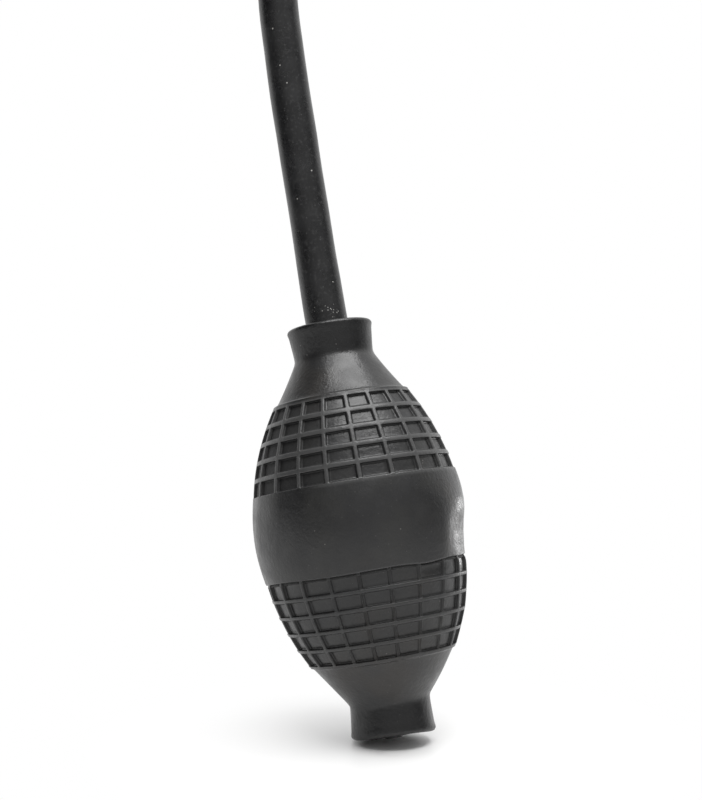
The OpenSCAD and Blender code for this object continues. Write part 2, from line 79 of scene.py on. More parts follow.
# The bulb's own frame: the origin is the middle of its lower rim, and +Z runs along its axis to the hose
BULB_TOP = Vector((13.3, -7.9, -138)) * MM
LEAN_SIDE = math.radians(9.1)
LEAN_BACK = math.radians(8)

# Heights along the bulb, in millimetres
NECK_LOW_H = 8.2
SHOULDER_LOW_H = 10.5
GRID_LOW_H = 21.9
BELLY_H = 21.7
GRID_TOP_H = 21.3
SHOULDER_TOP_H = 10.7
NECK_TOP_H = 8.3
Z_NECK_LOW = NECK_LOW_H
Z_GRID_LOW = Z_NECK_LOW + SHOULDER_LOW_H
Z_BELLY_LOW = Z_GRID_LOW + GRID_LOW_H
Z_BELLY_TOP = Z_BELLY_LOW + BELLY_H
Z_GRID_TOP = Z_BELLY_TOP + GRID_TOP_H
Z_NECK_TOP = Z_GRID_TOP + SHOULDER_TOP_H
BULB_H = Z_NECK_TOP + NECK_TOP_H

# Radii of the bulb, in millimetres
NECK_R = 9.9
RIM_LOW_R = 10.5
RIM_TOP_R = 10.8
RIM_ROUND = 0.9
BEVEL_TOP = 0.2
BEVEL_LOW = 0.4
SHOULDER_LOW_R = 17.6
SHOULDER_TOP_R = 16.6
RIB_RISE = 0.6
BELLY_EDGE_R = 25.5
BELLY_BOW = 1.2
GRID_BOW = 1.15
SHOULDER_BOW = 0.25
SHOULDER_DIP = 0.15
WALL = 3
VALVE_R = 6.6
HOSE_SEAT_R = 5.25
HOSE_SEAT_D = 8
CAVITY_LOW = 11.95
CAVITY_TOP = 85.95

# The grids. Their ribs stand turned by these degrees; GROOVE_D deepens the shaded corners of the pockets
ROWS = 5
RIBS = 20
RIB_W = 0.9
POCKET_D = 0.8
TURN_LOW = -4.6
TURN_TOP = 4.6
GROOVE_D = 0.05

# The upper grid's rings are wider by so many millimetres, and its upright ribs by this share
RING_EXTRA_TOP = 0.3
RIB_EXTRA_TOP = 0.2

# The narrow ring under the belly. It lies a step lower, of which a rib there has one share and the stretches
# between ribs another. At its foot the step has a groove, with painted shade in it, and its edge has a
# painted highlight, with some wear, stronger than a rib's.
BELLY_RING_W = 0.6
BELLY_RING_STEP = 0.35
STEP_ON_RIB = 0.3
STEP_BETWEEN = 1.25
STEP_GROOVE = 0.1
STEP_SHADE = 0.5
STEP_WEAR_AND_LIGHT = 2.2

# Section of a moulded edge: millimetres outside its nominal line, and share of its height there. The narrow
# ring and the step have the same section, but narrower by these shares.
EDGE = ((0.36, 0), (0.19, 0.04), (0.09, 0.2), (0.02, 0.5), (-0.05, 0.8), (-0.13, 0.95), (-0.26, 1))
EDGE_OUT = EDGE[0][0]
RING_EDGE = 0.6
STEP_EDGE = 0.5

# Shade across a pocket from the ring on its shoulder side: share of the way, and how dark it is there
POCKET_SHADES = ((0.06, 0.85), (0.13, 0.4), (0.2, 0.05), (0.45, 0), (0.75, 0))

# Shade from one rib to the next: share of the way, side of the nearer rib, and how dark it is there
GAP_SHADES = (
    (0.04, 1, 0.85), (0.09, 1, 0.35), (0.15, 0, 0), (0.5, 0, 0), (0.85, 0, 0), (0.91, -1, 0.35),
    (0.96, -1, 0.85),
)

# Rows of points on the plain stretches, as counts or as millimetres from a rim or an edge of the belly. They
# lie close in the necks' fillets and at the belly's lips.
RIM_ROWS = 6
NECK_ROWS_LOW = [2, 3.2, 4.4, 5.6, 6.4, 6.9, 7.25, 7.6, 7.95, 8.3, 8.8, 9.6]
NECK_ROWS_TOP = [2, 3.4, 4.8, 6.2, 7.3, 7.9, 8.3, 8.7, 9.1, 9.5, 10.1, 11]
NECK_FILLET = 0.5
SHOULDER_ROWS = 9
SHOULDER_CLEAR_LOW = 0.8
SHOULDER_CLEAR_TOP = 0.6
BELLY_ROWS = 34
LIP_ROWS_LOW = (0.3, 0.45)
LIP_ROWS_TOP = (0.9, 0.6, 0.4)
CAVITY_ROWS = 24

# The dent: its depth at heights along the bulb, and the depth of the crease under it
DENT_HEIGHTS = (28, 32, 36, 39, 40.6, 43, 46.5, 49, 52, 54.5, 58, 62)
DENT_DEPTHS = (0, 0.3, 0.45, 0.6, 1, 1.3, 1.35, 1.1, 0.5, 0.2, 0.05, 0)
CREASE_D = 0.25

# What the bulb's material reads from its points, among them where it paints light and shade
LAYERS = ("wear_and_highlight", "raised", "wall", "neck", "shaded")

# The hose. Between these millimetres from its seat it swells a little towards the bulb, and thins a little
# beyond. Its first steps, which are seated, are even.
HOSE_R = 5.17
HOSE_SWELL = 0.2
HOSE_SWELL_OVER = (30, 10)
HOSE_THINNING = 0.1
HOSE_THINNING_OVER = (60, 80)
HOSE_BORE_R = 2.5
HOSE_SIDES = 64
ROUTE_STEPS = 5
SEATED_STEPS = 6
UNEVEN_OVER = 8
HOSE_ROUTE = (
    (0, 0, -34), (0, 0, -47), (0.1, -0.1, -53), (0.6, -0.4, -59), (1.5, -0.8, -66), (2.6, -1.3, -74),
    (3.8, -1.9, -82), (5.1, -2.6, -90), (6.35, -3.3, -98), (7.65, -4.1, -106), (8.95, -4.9, -114),
    (10.2, -5.8, -122), (11.5, -6.8, -130), (12.9, -7.9, -138),
)

# Where dust has gathered on the hose's front, just above the bulb
DUST_AT = Vector((12.6, -12.8, -134.2)) * MM

# The springs. The valves' stand in the bulb, and the release valve's along its own axis, which points to the
# front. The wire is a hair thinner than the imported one, and each end has a flatter half turn.
SPRING_WIRE = 0.5
SPRING_CLEAR = 0.01
SPRING_TURNS = 4
SPRING_STEPS = 24
SPRING_SIDES = 12
SPRING_END_TURN = 0.5
SPRING_END_RISE = 0.04
VALVE_SPRING_R = 2.2
VALVE_SPRING_H = 4
EXHAUST_CAP_TOP = 4.8
RELEASE_Z = -18.5
RELEASE_SPRING_R = 1.7
RELEASE_SPRING_FROM = -5
RELEASE_SPRING_TO = 0.25

# The floor, in metres to each side. Over its lit colour it glows white, a painted light that grows between
# two distances from the bulb's foot; the first is less than nothing, so that the shadow is painted pale from
# the start. The patch under the foot, which the glow spares, stays dark up to one distance from its middle,
# and ends at another.
FLOOR_REACH = 3
FLOOR_SEEN_TO = -25 * MM
FLOOR_WHITE_FROM = 78 * MM
PATCH_AT = Vector((1, -4, 0)) * MM
PATCH_DARK_TO = 8 * MM
PATCH_END = 13 * MM

# Edges that turn by more than this aren't shaded smooth
SHARP_FROM = math.radians(60)


def lerp(a, b, t):
    return a + (b - a) * t


def smooth(t):
    t = np.clip(t, 0, 1)
    return t * t * (3 - 2 * t)


def ease(x, start, end):
    """0 at a start and before it, going over softly into 1 at an end."""
    return smooth((x - start) / (end - start))


def bump(x, middle, width):
    """A soft bump of height 1 around a middle."""
    return np.exp(-(((x - middle) / width) ** 2))


def bulb_matrix():
    lean = Matrix.Rotation(-LEAN_SIDE, 4, "Y") @ Matrix.Rotation(-LEAN_BACK, 4, "X")
    return Matrix.Translation(BULB_TOP) @ lean @ Matrix.Translation((0, 0, -BULB_H * MM))


BULB = bulb_matrix()
BELLY_MIDDLE = BULB @ Vector((0, 0, (Z_BELLY_LOW + Z_BELLY_TOP) / 2 * MM))
BULB_FOOT = BULB @ Vector((0, 0, 0))


# Camera

def add_camera():
    data = bpy.data.cameras.new("camera")
    data.lens = CAMERA_LENS
    camera = bpy.data.objects.new("camera", data)
    camera.location = CAMERA_AT
    camera.rotation_euler = (math.pi / 2 - CAMERA_TILT, 0, 0)
    bpy.context.collection.objects.link(camera)
    bpy.context.scene.camera = camera


# Meshes

def new_object(name, verts, faces, material):
    mesh = bpy.data.meshes.new(name)
    mesh.from_pydata(verts, [], faces)
    mesh.materials.append(material)
    mesh.polygons.foreach_set("use_smooth", [True] * len(mesh.polygons))
    mesh.update()
    piece = bpy.data.objects.new(name, mesh)
    bpy.context.collection.objects.link(piece)
    return piece


def smooth_route(points, steps):
    """Points on a smooth curve through the given ones."""
    p = [Vector(q) * MM for q in points]
    p = [2 * p[0] - p[1]] + p + [2 * p[-1] - p[-2]]
    out = []
    for i in range(1, len(p) - 2):
        a, b, c, d = p[i - 1 : i + 3]
        for k in range(steps):
            t = k / steps
            out.append(0.5 * (2 * b + (c - a) * t + (2 * a - 5 * b + 4 * c - d) * t**2
                              + (3 * b - a - 3 * c + d) * t**3))
    return out + [p[-2]]


def hose_wave(along, angle):
    """Unevenness of the hose's surface, in millimetres."""
    return 0.035 * np.sin(angle * 2 + along * 0.11) + 0.02 * np.sin(angle * 3 - along * 0.31 + 1)


def hose_r(step, along, angle):
    """The hose's radius at a step of its route."""
    swell = HOSE_SWELL * ease(along, *HOSE_SWELL_OVER) - HOSE_THINNING * ease(along, *HOSE_THINNING_OVER)
    return HOSE_R + swell + hose_wave(along, angle) * smooth((step - SEATED_STEPS) / UNEVEN_OVER)


def add_hose(material, release_spring):
    """The hose, from its seat in the bulb to the barb, as one closed tube with its bore."""
    seat = BULB @ Vector((0, 0, (BULB_H - HOSE_SEAT_D) * MM))
    route = smooth_route([*HOSE_ROUTE, seat / MM], ROUTE_STEPS)[::-1]
    verts = []
    far = np.cumsum([0] + [(b - a).length / MM for a, b in zip(route, route[1:])])
    for bore in (False, True):
        for i, point in enumerate(route):
            ahead = route[min(i + 1, len(route) - 1)]
            behind = route[max(i - 1, 0)]
            way = (ahead - behind).normalized()
            side = Vector((0, 1, 0)).cross(way).normalized()
            up = way.cross(side)
            for k in range(HOSE_SIDES):
                a = 2 * math.pi * k / HOSE_SIDES
                r = HOSE_BORE_R if bore else hose_r(i, far[i], a)
                verts.append(point + (math.cos(a) * side + math.sin(a) * up) * r * MM)
    rings = len(route)
    order = list(range(rings)) + [rings + i for i in range(rings - 1, -1, -1)]
    faces = []
    for a, b in zip(order, order[1:] + order[:1]):
        for k in range(HOSE_SIDES):
            n = (k + 1) % HOSE_SIDES
            faces.append((a * HOSE_SIDES + k, a * HOSE_SIDES + n, b * HOSE_SIDES + n, b * HOSE_SIDES + k))
    hose = new_object("rubber_hose", verts, faces, material)
    hose.data.set_sharp_from_angle(angle=SHARP_FROM)
    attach(hose, "pump")
    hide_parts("hose")


# The bulb

def grid_r(end_r, t):
    """Radius of a grid's ribs, from its shoulder (t = 0) to the belly (t = 1)."""
    return lerp(end_r, BELLY_EDGE_R - 0.1, t) + 4 * GRID_BOW * t * (1 - t)


def belly_r(z):
    t = (z - Z_BELLY_LOW) / BELLY_H
    return BELLY_EDGE_R + 4 * BELLY_BOW * t * (1 - t)


def shoulder_low_r(z):
    t = (z - Z_NECK_LOW) / SHOULDER_LOW_H
    return lerp(NECK_R, SHOULDER_LOW_R, t) + 4 * SHOULDER_BOW * t * (1 - t)


def shoulder_top_r(z):
    t = (Z_NECK_TOP - z) / SHOULDER_TOP_H
    return lerp(NECK_R, SHOULDER_TOP_R, t) - 4 * SHOULDER_DIP * t * (1 - t)


def neck_low_r(z):
    return lerp(RIM_LOW_R, NECK_R, z / NECK_LOW_H)


def neck_top_r(z):
    return lerp(RIM_TOP_R, NECK_R, (BULB_H - z) / NECK_TOP_H)


def blended_max(a, b, soft):
    """The larger of two radii, with a fillet where they cross."""
    return (a + b + math.sqrt((a - b) ** 2 + soft**2)) / 2 - soft / 8


def rim_corner(rim_r, z_middle, start, end):
    """Plain rows around a rim's rounded outer edge."""
    rows = []
    for i in range(RIM_ROWS):
        a = math.radians(lerp(start, end, i / (RIM_ROWS - 1)))
        rows.append((z_middle + RIM_ROUND * math.sin(a), rim_r - RIM_ROUND + RIM_ROUND * math.cos(a)))
    return rows


def worn_lit_edge(height):
    """1 on the outer corner of a moulded edge, which is painted lighter as a highlight, with some wear, and 0
    elsewhere.
    """
    return 1 if 0.7 < height < 1 else 0


def grid_rows(z_end, up, end_r, shoulder_r, grid_h, ring_w):
    """A grid's rows from shoulder to belly, each (z, radius on a rib, radius between ribs, painted edge
    highlight with some wear, shade).
    """
    pitch = (grid_h - ring_w) / ROWS
    rows = []

    def add(distance, height, kind, shade=0.0):
        z = z_end + up * distance
        t = min(max(distance / grid_h, 0), 1)
        rib = grid_r(end_r, t)
        floor = rib - POCKET_D * (1 - height)
        if kind == "shoulder":
            rib = floor = lerp(shoulder_r(z), grid_r(end_r, 0), height)
        if kind == "ring":
            floor = rib - lerp(POCKET_D, BELLY_RING_STEP, height)
            rib = rib - STEP_ON_RIB * BELLY_RING_STEP * height
        if kind == "step":
            rib, floor = (lerp(rib - BELLY_RING_STEP * k - STEP_GROOVE, belly_r(z), height)
                          for k in (STEP_ON_RIB, STEP_BETWEEN))
        if kind == "belly":
            rib, floor = (lerp(r, belly_r(z), height) for r in (rib, rib - POCKET_D))
        # The edge's outer corner is painted lighter: a painted highlight, with some wear
        wear = worn_lit_edge(height) * (STEP_WEAR_AND_LIGHT if kind == "step" else 1)
        rows.append((z, rib, floor - GROOVE_D * shade, wear, shade))

    extra = RING_EXTRA_TOP if up < 0 else 0
    for i in range(ROWS):
        start, end = i * pitch - extra, i * pitch + RIB_W
        for out, height in EDGE:
            add(start - out, height, "shoulder" if i == 0 else "rib")
        for out, height in reversed(EDGE):
            add(end + out, height, "rib", 1 - height)
        first, last = end + EDGE_OUT, (i + 1) * pitch - extra - EDGE_OUT
        for share, shade in POCKET_SHADES:
            add(lerp(first, last, share), 0, "rib", shade)
    if ring_w == 0:
        for out, height in EDGE:
            add(grid_h - out, height, "belly")
        return rows
    for out, height in EDGE:
        add(grid_h - ring_w - out * RING_EDGE, height, "ring")
    for out, height in EDGE:
        add(grid_h - out * STEP_EDGE, height, "step", STEP_SHADE * (1 - height))
    return rows


def plain(rows):
    """Rows without ribs, from (z, radius)."""
    return [(z, r, r, 0, 0) for z, r in rows]


def spread(start, end, count):
    """Heights between two, both left out."""
    return [lerp(start, end, (i + 1) / (count + 1)) for i in range(count)]


def outer_rows():
    """The bulb's outside, row by row, from the lower rim to the upper one."""
    shoulder_low = spread(NECK_ROWS_LOW[-1], Z_GRID_LOW - SHOULDER_CLEAR_LOW, SHOULDER_ROWS)
    shoulder_top = spread(NECK_ROWS_TOP[-1], BULB_H - Z_GRID_TOP - SHOULDER_CLEAR_TOP, SHOULDER_ROWS)
    low = [(z, blended_max(neck_low_r(z), shoulder_low_r(z), NECK_FILLET))
           for z in NECK_ROWS_LOW + shoulder_low]
    top = [(z, blended_max(neck_top_r(z), shoulder_top_r(z), NECK_FILLET))
           for z in (BULB_H - down for down in NECK_ROWS_TOP + shoulder_top)]
    low_lip = [Z_BELLY_LOW + up for up in LIP_ROWS_LOW]
    top_lip = [Z_BELLY_TOP - down for down in LIP_ROWS_TOP]
    belly = [(z, belly_r(z)) for z in low_lip + spread(low_lip[-1], top_lip[0], BELLY_ROWS) + top_lip]
    return (
        plain(rim_corner(RIM_LOW_R, RIM_ROUND, -90, 0)) + plain(low)
        + grid_rows(Z_GRID_LOW, 1, SHOULDER_LOW_R + RIB_RISE, shoulder_low_r, GRID_LOW_H, BELLY_RING_W)
        + plain(belly)
        + grid_rows(Z_GRID_TOP, -1, SHOULDER_TOP_R + RIB_RISE, shoulder_top_r, GRID_TOP_H, 0)[::-1]
        + plain(top[::-1]) + plain(rim_corner(RIM_TOP_R, BULB_H - RIM_ROUND, 0, 90))
    )


def outer_r(z):
    """Radius over pockets and ribs alike."""
    if z < Z_GRID_LOW:
        return shoulder_low_r(z)
    if z < Z_BELLY_LOW:
        return grid_r(SHOULDER_LOW_R + RIB_RISE, (z - Z_GRID_LOW) / GRID_LOW_H)
    if z < Z_BELLY_TOP:
        return belly_r(z)
    if z < Z_GRID_TOP:
        return grid_r(SHOULDER_TOP_R + RIB_RISE, (Z_GRID_TOP - z) / GRID_TOP_H)
    return shoulder_top_r(z)


def in_grid(z):
    """Whether a height lies in one of the two grids."""
    return Z_GRID_LOW < z < Z_BELLY_LOW or Z_BELLY_TOP < z < Z_GRID_TOP


def inner_rows():
    """From the upper rim down the hose's seat, round the cavity, and out of the lower neck."""
    seat = BULB_H - HOSE_SEAT_D
    heights = [CAVITY_TOP] + spread(CAVITY_TOP, CAVITY_LOW, CAVITY_ROWS) + [CAVITY_LOW]
    return plain(
        [(BULB_H, HOSE_SEAT_R + BEVEL_TOP), (BULB_H - BEVEL_TOP, HOSE_SEAT_R), (seat, HOSE_SEAT_R),
         (seat, VALVE_R), (CAVITY_TOP, VALVE_R)]
        + [(z, outer_r(z) - WALL) for z in heights]
        + [(CAVITY_LOW, VALVE_R), (BEVEL_LOW, VALVE_R), (0, VALVE_R + BEVEL_LOW)])


def columns():
    """Columns round the bulb, from the left side through the front.

    Each is (rib, offset, share of the way to the next rib, height, painted edge highlight with some wear,
    side of the nearer rib, shade).
    """
    half = RIB_W / 2
    section = [(-half - out, height) for out, height in EDGE] + [(0, 1)]
    section += [(half + out, height) for out, height in reversed(EDGE)]
    middle = len(EDGE)
    cols = []
    for rib in range(RIBS):
        # Each rib's section, with a painted highlight, with some wear, on its outer corners
        cols += [(rib, out, 0, height, worn_lit_edge(height), math.copysign(1, out), 1 - height)
                 for out, height in section]
        cols += [(rib, section[-1][0], share, 0, 0, side, shade) for share, side, shade in GAP_SHADES]
    return cols[middle:] + [(rib + RIBS, *rest) for rib, *rest in cols[:middle]]


def window(angle, start, rise, end, fall):
    """1 between two angles round the bulb and 0 outside, with a soft rise and fall. All are in degrees."""
    side = np.degrees(angle)
    return smooth((side - start) / rise) * smooth((end - side) / fall)


def dented(angle, z, r):
    """The bulb's faults: a dent low on the right of the belly, and slight waves all over."""
    deep = np.interp(z, DENT_HEIGHTS, DENT_DEPTHS)
    wave = 0.06 * np.sin(2 * angle + 0.09 * z) + 0.04 * np.sin(5 * angle - 0.23 * z + 1)
    off_necks = smooth((z - Z_NECK_LOW) / 8) * smooth((Z_NECK_TOP - z) / 8)
    return r - window(angle, 46, 24, 134, 26) * deep - CREASE_D * creased(angle, z) + wave * off_necks


def creased(angle, z):
    """How near the crease is that the dent leaves under the belly's lower edge. The crease is cut in, and its
    shade is painted as well.
    """
    return window(angle, 26, 14, 53, 5) * bump(z, 38.7, 1.3)


def shifted(angle, z):
    """Heights, moved where the belly's lower edge waves and where the lower rim is cut askew."""
    side = np.degrees(angle)
    sag = -0.35 * bump(side, 33, 9) + 0.35 * bump(side, 55, 9) + 0.12 * np.sin(5 * angle)
    askew = 0.55 * bump(side, 0, 45) - 0.75 * bump(side, 90, 40)
    low = np.clip(1 - z / Z_NECK_LOW, 0, 1)
    return z + sag * bump(z, Z_BELLY_LOW, 1.3) + askew * low


def faint(angle, z):
    """How far the upright ribs of the lower grid are pressed down, in its middle."""
    return window(angle, -35, 25, 62, 12) * (z < Z_BELLY_LOW)


def lip_highlight(angle, z):
    """How near the soft light lips are along the belly's edges: painted highlights."""
    side = np.degrees(angle)
    upper = bump(z, Z_BELLY_TOP - 0.45, 0.6) * smooth((side + 35) / 25)
    return upper + bump(z, Z_BELLY_LOW + 0.15, 0.22) * smooth((side + 60) / 60)


def hidden(angle, z):
    """How far the upper grid's pockets lie in shade, on the left."""
    return window(angle, -130, 20, -10, 25) * (z > Z_BELLY_TOP)


def leaned(z):
    """How far the lower part of the bulb stands off its axis to the side, in millimetres."""
    return 0.55 * bump(z, 14, 9) + 0.1 * bump(z, 31, 8)


def rib_turn(angle, z):
    """Degrees that the ribs stand turned; the moulded ribs aren't quite evenly spread."""
    side = np.degrees(angle)
    low = TURN_LOW - 2 * np.tanh(side / 25)
    top = TURN_TOP + 1.8 * smooth((-side - 15) / 35) + 1.5 * smooth((side - 45) / 30)
    return lerp(low, top, smooth((z - Z_BELLY_LOW) / BELLY_H))


def side_shade(angle, z, rib_side):
    """How deep the shade is at a rib's right (1) or left (-1), where that faces away from the light."""
    side = np.degrees(angle)
    right_of_rib, left_of_rib = (rib_side > 0), (rib_side < 0)
    if z < Z_BELLY_TOP:
        return right_of_rib * smooth((15 - side) / 25) + left_of_rib * smooth((side - 15) / 25) * 0.7
    return left_of_rib * smooth((side + 30) / 25) * 0.8 + right_of_rib * smooth((-side - 10) / 25) * 0.8


def row_angles(rib, offset, share, z, row_r):
    """Angles of a row's points. An offset is in millimetres along the row, whose radius is given."""
    wide = 1 + RIB_EXTRA_TOP * smooth((z - Z_BELLY_LOW) / BELLY_H)
    step = 2 * math.pi / RIBS
    here = rib * step + offset * wide / row_r
    after = (rib + 1) * step - (RIB_W / 2 + EDGE_OUT) * wide / row_r
    angle = lerp(here, after, share) - math.pi / 2
    return angle + np.radians(rib_turn(angle, z))


def skin_row(cols, row, outside):
    """One row's points in the bulb's own frame, and the layers that its material reads."""
    rib, offset, share, height, wear, rib_side, gap_shade = cols
    z, on_rib, between, row_wear_and_light, row_shade = row
    count = len(rib)
    angle = row_angles(rib, offset, share, z, max(on_rib, SHOULDER_TOP_R) if outside else BELLY_EDGE_R)
    ribbed = on_rib - between > 0.05
    gridded = outside and in_grid(z)
    upper = z > Z_BELLY_TOP

    pressed = 1 - 0.5 * faint(angle, z)
    beside = side_shade(angle, z, rib_side) * gap_shade * ribbed * pressed
    even_r = lerp(between - GROOVE_D * beside * (1 - row_shade), on_rib, height * pressed)
    r = dented(angle, z, even_r)
    level = np.full(count, z)
    x = r * np.sin(angle) + (leaned(z) if outside else 0)
    points = np.stack([x, -r * np.cos(angle), shifted(angle, level) if outside else level], 1)

    rise = np.clip((even_r - (on_rib - POCKET_D)) / POCKET_D, 0, 1)
    in_shade = 0.6 * (1 - rise) * hidden(angle, z) * gridded
    beside_rib = np.maximum(row_shade, beside) * (1 - height) * (1 if upper else 0.75)
    return points, {
        # Painted highlight, with some wear, on the outer corners of edges
        "wear_and_highlight": np.maximum(wear * ribbed, row_wear_and_light),
        # Rib tops painted lighter, most in the upper grid, which faces the top light: dust, and a painted
        # highlight; off the grids, the belly's lips get a painted highlight
        "raised": np.minimum(rise, 1 if upper else 0.7) if gridded else 0.5 + 0.4 * lip_highlight(angle, z),
        "wall": np.maximum(4 * rise * (1 - rise), 0.7 * (1 - rise) * hidden(angle, z)) * gridded,
        # Where the necks are, which the material paints darker: painted shade
        "neck": np.full(count, max(smooth((Z_NECK_LOW + 1.2 - z) / 2), smooth((z - Z_NECK_TOP + 1) / 2))),
        "shaded": np.maximum(beside_rib, np.maximum(creased(angle, z), in_shade) * outside),
    }


def bulb_skin(rows, outer_count):
    """The bulb's points, row by row, and what its material needs to know about them."""
    cols = [np.array(values, float) for values in zip(*columns())]
    made = [skin_row(cols, row, i < outer_count) for i, row in enumerate(rows)]
    matrix = np.array(BULB)
    points = np.concatenate([row_points for row_points, _ in made]) * MM @ matrix[:3, :3].T + matrix[:3, 3]
    layers = {name: np.concatenate([values[name] for _, values in made]) for name in LAYERS}
    return points, layers


def quads(row_count, count):
    """The faces between the rows, as four points for each row and column; the last row meets the first."""
    row = np.arange(row_count)[:, None] * count
    above = np.roll(np.arange(row_count), -1)[:, None] * count
    col = np.arange(count)[None, :]
    after = (col + 1) % count
    return np.stack([row + col, row + after, above + after, above + col], -1)


def cap(profile, column, count, flip):
    """Faces that close a half at one of its two seams."""
    faces = []
    for tri in tessellate_polygon([[Vector((r, z, 0)) for z, r in profile]]):
        (ax, ay), (bx, by), (cx, cy) = ((profile[i][1], profile[i][0]) for i in tri)
        turn = (bx - ax) * (cy - ay) - (by - ay) * (cx - ax)
        tri = tri if (turn > 0) != flip else tri[::-1]
        faces.append([i * count + column for i in tri])
    return faces


def whole_normals(points, faces, material):
    """The corner normals of the undivided bulb, with which its halves show no seam."""
    whole = new_object("whole", points.tolist(), faces.reshape(-1, 4).tolist(), material)
    whole.data.set_sharp_from_angle(angle=SHARP_FROM)
    normals = np.zeros(faces.size * 3, np.float32)
    whole.data.corner_normals.foreach_get("vector", normals)
    bpy.data.objects.remove(whole)
    return normals.reshape(*faces.shape, 3)


def half_mesh(name, points, layers, skin, caps, normals, material):
    """One half of the bulb: its part of the skin, with the given normals, and its two caps."""
    used, index = np.unique(np.concatenate([skin.ravel(), np.array(caps).ravel()]), return_inverse=True)
    skin_here = index[: skin.size].reshape(-1, 4).tolist()
    caps_here = index[skin.size :].reshape(-1, 3).tolist()
    piece = new_object(name, points[used].tolist(), skin_here + caps_here, material)
    mesh = piece.data
    flat = [mesh.polygons[len(skin_here) + i].normal for i in range(len(caps_here)) for _ in range(3)]
    mesh.normals_split_custom_set(np.concatenate([normals.reshape(-1, 3), np.array(flat)]).tolist())
    for layer_name, values in layers.items():
        layer = mesh.attributes.new(layer_name, "FLOAT", "POINT")
        layer.data.foreach_set("value", values[used].astype(np.float32))
    return piece


def add_bulb(material):
    """The bulb as a front and a back half, which meet in the plane through its sides."""
    outer = outer_rows()
    rows = outer + inner_rows()
    count = len(columns())
    points, layers = bulb_skin(rows, len(outer))
    faces = quads(len(rows), count)
    normals = whole_normals(points, faces, material)
    profile = [(row[0], row[1]) for row in rows]
    half = count // 2
    halves = ("bulb_front", 0, "thumb_wall", -1), ("bulb_back", half, "finger_wall", 1)
    for name, start, wall, side in halves:
        taken = slice(start, start + half)
        skin = faces[:, taken].reshape(-1, 4)
        caps = cap(profile, start, count, False) + cap(profile, (start + half) % count, count, True)
        piece = half_mesh(name, points, layers, skin, caps, normals[:, taken], material)
        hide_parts("bulb_shell", "bulb_" + wall)
        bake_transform(piece)


# Materials

def add_node(tree, kind, inputs=None, **settings):
    """A shader node with its settings. Each input is a value, or an output that is linked to it."""
    node = tree.nodes.new(kind)
    for key, value in settings.items():
        setattr(node, key, value)
    for key, value in (inputs or {}).items():
        if isinstance(value, bpy.types.NodeSocket):
            tree.links.new(value, node.inputs[key])
        else:
            node.inputs[key].default_value = value
    return node


class Look:
    """A material whose shader is fed by a few texture nodes. Scales are in millimetres."""

    def __init__(self, name, colour, roughness, metallic=0.0, specular=0.5):
        self.material = bpy.data.materials.new(name)
        self.material.use_nodes = True
        self.tree = self.material.node_tree
        self.shader = self.tree.nodes["Principled BSDF"]
        self.shader.inputs["Metallic"].default_value = metallic
        self.shader.inputs["Specular IOR Level"].default_value = specular
        self.shader.inputs["Roughness"].default_value = roughness
        self.roughness = roughness
        self.place = self.add("ShaderNodeTexCoord").outputs["Object"]
        self.colour = self.rgb(colour)
        self.height = None

    def add(self, kind, inputs=None, **settings):
        return add_node(self.tree, kind, inputs, **settings)

    def rgb(self, colour):
        node = self.add("ShaderNodeRGB")
        node.outputs[0].default_value = (*colour, 1)
        return node.outputs[0]

    def noise(self, size, detail=3.0, rough=0.55, stretch=(1, 1, 1)):
        place = self.add("ShaderNodeVectorMath", {0: self.place, 1: stretch}, operation="MULTIPLY").outputs[0]
        inputs = {"Vector": place, "Scale": 1 / (size * MM), "Detail": detail, "Roughness": rough}
        return self.add("ShaderNodeTexNoise", inputs).outputs["Fac"]

    def ramp(self, value, low, high, start=0.0, end=1.0):
        inputs = {"Value": value, "From Min": low, "From Max": high, "To Min": start, "To Max": end}
        return self.add("ShaderNodeMapRange", inputs, interpolation_type="SMOOTHSTEP").outputs["Result"]

    def times(self, a, b):
        return self.add("ShaderNodeMath", {0: a, 1: b}, operation="MULTIPLY").outputs[0]

    def plus(self, a, b):
        return self.add("ShaderNodeMath", {0: a, 1: b}, operation="ADD").outputs[0]

    def mix(self, share, other):
        """Mixes another colour into the one so far."""
        inputs = {"Factor": share, "A": self.colour, "B": self.rgb(other)}
        self.colour = self.add("ShaderNodeMix", inputs, data_type="RGBA").outputs["Result"]
        return self

    def mottle(self, other, size, low=0.4, high=0.65, detail=3.0):
        return self.mix(self.ramp(self.noise(size, detail), low, high), other)

    def specks(self, other, size, share, amount=1.0):
        """Sparse spots of dust or wear in cells of a size; share is how many of the cells hold one."""
        inputs = {"Vector": self.place, "Scale": 1 / (size * MM)}
        cells = self.add("ShaderNodeTexVoronoi", inputs, distance="EUCLIDEAN")
        spot = self.ramp(cells.outputs["Distance"], 0.28, 0.12)
        chosen = self.add("ShaderNodeSeparateColor", {"Color": cells.outputs["Color"]}).outputs["Red"]
        picked = self.add("ShaderNodeMath", {0: chosen, 1: share}, operation="LESS_THAN").outputs[0]
        return self.mix(self.times(self.times(spot, picked), amount), other)

    def gloss(self, size, amount, detail=3.0, more=0.0):
        """Roughness that varies over the surface, and more of it where that is given."""
        made = self.ramp(self.noise(size, detail), 0.3, 0.7, self.roughness - amount, self.roughness + amount)
        made = self.plus(made, more)
        self.tree.links.new(made, self.shader.inputs["Roughness"])
        return self

    def relief(self, value, depth):
        """Adds a height in millimetres to the bump so far."""
        value = self.times(value, depth * MM)
        self.height = value if self.height is None else self.plus(self.height, value)
        return self

    def done(self):
        self.tree.links.new(self.colour, self.shader.inputs["Base Color"])
        if self.height is not None:
            made = self.add("ShaderNodeBump", {"Height": self.height, "Distance": 1.0, "Strength": 1.0})
            self.tree.links.new(made.outputs["Normal"], self.shader.inputs["Normal"])
        return self.material


